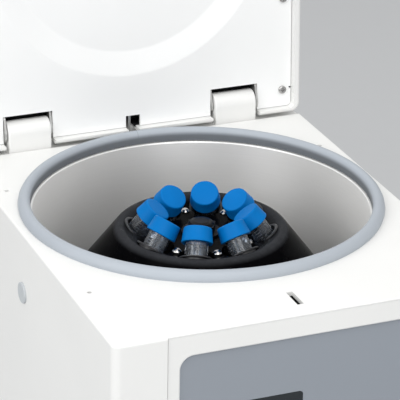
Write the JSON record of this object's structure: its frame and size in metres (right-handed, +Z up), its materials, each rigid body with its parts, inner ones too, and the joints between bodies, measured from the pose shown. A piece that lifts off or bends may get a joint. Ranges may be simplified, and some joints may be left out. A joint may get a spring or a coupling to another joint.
{
  "type": "clinical centrifuge",
  "caption": "Bench clinical centrifuge with its lid open: a round steel chamber with a grey rubber seal and a black fixed-angle rotor that holds capped conical tubes.",
  "frame": {"origin": "on the bench under the middle of the casing, with the lid open", "axes": "+X to the right as seen from the front, +Y to the rear, +Z up"},
  "size_m": [0.2726, 0.3599, 0.5705],
  "materials": {
    "white_cover": "fine satin",
    "panel_grey": "satin film",
    "window_clear": "polished",
    "key_green": "satin",
    "key_red": "satin",
    "key_white": "satin",
    "board_green": "solder mask",
    "gasket_grey": "smooth moulded",
    "bowl_steel": "brushed round",
    "rotor_black": "black gloss coating",
    "nut_black": "moulded gloss",
    "sleeve_natural": "natural",
    "tube_clear": "clear moulded",
    "cap_blue": "moulded",
    "plug_grey": "moulded",
    "zinc_steel": "zinc plated",
    "shaft_steel": "ground",
    "screw_steel": "bright",
    "motor_grey": "satin paint",
    "black_rubber": "matte",
    "black_plastic": "fine grain"
  },
  "bodies": {
    "housing": {"casing": "white_cover", "base_plate": "zinc_steel", "feet": "black_rubber", "case_screws": "screw_steel", "front_fascia": "white_cover", "control_panel": "panel_grey", "display_window": "window_clear", "control_board": "board_green", "chamber_gasket": "gasket_grey", "chamber_bowl": "bowl_steel", "motor_can": "motor_grey", "motor_stator": "shaft_steel", "motor_bearings": "shaft_steel", "motor_plate": "zinc_steel", "motor_dampers": "black_rubber", "shaft_boot": "black_rubber", "hinge_cover_right": "white_cover", "hinge_cover_left": "white_cover", "hinge_brackets": "zinc_steel", "hinge_pins": "shaft_steel", "lid_sensor_bracket": "zinc_steel", "lid_lock_body": "black_plastic", "rear_panel": "zinc_steel", "mains_inlet": "black_plastic", "switch_frame": "black_plastic", "power_board": "board_green"},
    "lid": {"lid_shell": "white_cover", "lid_inner_panel": "white_cover", "lid_striker": "zinc_steel", "lid_hinge_arms": "zinc_steel", "lid_screws": "screw_steel"},
    "rotor": {"rotor_body": "rotor_black", "tube_sleeves": "sleeve_natural", "rotor_screws": "screw_steel", "rotor_nut": "nut_black", "motor_shaft": "shaft_steel", "motor_armature": "shaft_steel"},
    "start_button": {"start_key": "key_green"},
    "stop_button": {"stop_key": "key_red"},
    "lid_button": {"lid_key": "key_white"},
    "set_lever": {"set_rocker": "key_white"},
    "lock_pin": {"lid_lock_bolt": "shaft_steel"},
    "side_plug": {"release_plug": "plug_grey"},
    "power_lever": {"power_rocker": "black_plastic"},
    "tube_place_1": {"tube_1": "tube_clear", "tube_cap_1": "cap_blue"},
    "tube_place_2": {"tube_2": "tube_clear", "tube_cap_2": "cap_blue"},
    "tube_place_3": {"tube_3": "tube_clear", "tube_cap_3": "cap_blue"},
    "tube_place_4": {"tube_4": "tube_clear", "tube_cap_4": "cap_blue"},
    "tube_place_5": {"tube_5": "tube_clear", "tube_cap_5": "cap_blue"},
    "tube_place_6": {"tube_6": "tube_clear", "tube_cap_6": "cap_blue"},
    "tube_place_7": {"tube_7": "tube_clear", "tube_cap_7": "cap_blue"},
    "tube_place_8": {"tube_8": "tube_clear", "tube_cap_8": "cap_blue"}
  },
  "joints": [
    {"name": "lid_hinge", "type": "hinge", "parent": "housing", "child": "lid", "pos_m": [0, 0.14915, 0.24383], "axis": [-1, 0, 0], "range_deg": [-92.74, 0]},
    {"name": "rotor_spin", "type": "hinge", "parent": "housing", "child": "rotor", "pos_m": [0, 0.0075, 0.15], "axis": [0, 0, 1], "continuous": true},
    {"name": "start_press", "type": "slide", "parent": "housing", "child": "start_button", "axis": [0, 1, 0], "range_m": [0, 0.0015], "stiffness_N_per_m": 400},
    {"name": "stop_press", "type": "slide", "parent": "housing", "child": "stop_button", "axis": [0, 1, 0], "range_m": [0, 0.0015], "stiffness_N_per_m": 400},
    {"name": "lid_press", "type": "slide", "parent": "housing", "child": "lid_button", "axis": [0, 1, 0], "range_m": [0, 0.0015], "stiffness_N_per_m": 400},
    {"name": "set_rock", "type": "hinge", "parent": "housing", "child": "set_lever", "pos_m": [0.039, -0.1711, 0.124], "axis": [0, 0, 1], "range_deg": [-3, 3], "stiffness_Nm_per_rad": 0.05},
    {"name": "lock_slide", "type": "slide", "parent": "housing", "child": "lock_pin", "axis": [-1, 0, 0], "range_m": [0, 0.006]},
    {"name": "plug_pull", "type": "slide", "parent": "housing", "child": "side_plug", "axis": [-1, 0, 0], "range_m": [0, 0.014]},
    {"name": "power_rock", "type": "hinge", "parent": "housing", "child": "power_lever", "pos_m": [-0.03, 0.1715, 0.058], "axis": [1, 0, 0], "range_deg": [0, 12]},
    {"name": "tube_lift_1", "type": "slide", "parent": "rotor", "child": "tube_place_1", "axis": [0.2747, 0.551, 0.788], "range_m": [0, 0.19]},
    {"name": "tube_lift_2", "type": "slide", "parent": "rotor", "child": "tube_place_2", "axis": [-0.1954, 0.5838, 0.788], "range_m": [0, 0.19]},
    {"name": "tube_lift_3", "type": "slide", "parent": "rotor", "child": "tube_place_3", "axis": [-0.551, 0.2747, 0.788], "range_m": [0, 0.19]},
    {"name": "tube_lift_4", "type": "slide", "parent": "rotor", "child": "tube_place_4", "axis": [-0.5838, -0.1954, 0.788], "range_m": [0, 0.19]},
    {"name": "tube_lift_5", "type": "slide", "parent": "rotor", "child": "tube_place_5", "axis": [-0.2747, -0.551, 0.788], "range_m": [0, 0.19]},
    {"name": "tube_lift_6", "type": "slide", "parent": "rotor", "child": "tube_place_6", "axis": [0.1954, -0.5838, 0.788], "range_m": [0, 0.19]},
    {"name": "tube_lift_7", "type": "slide", "parent": "rotor", "child": "tube_place_7", "axis": [0.551, -0.2747, 0.788], "range_m": [0, 0.19]},
    {"name": "tube_lift_8", "type": "slide", "parent": "rotor", "child": "tube_place_8", "axis": [0.5838, 0.1954, 0.788], "range_m": [0, 0.19]}
  ]
}
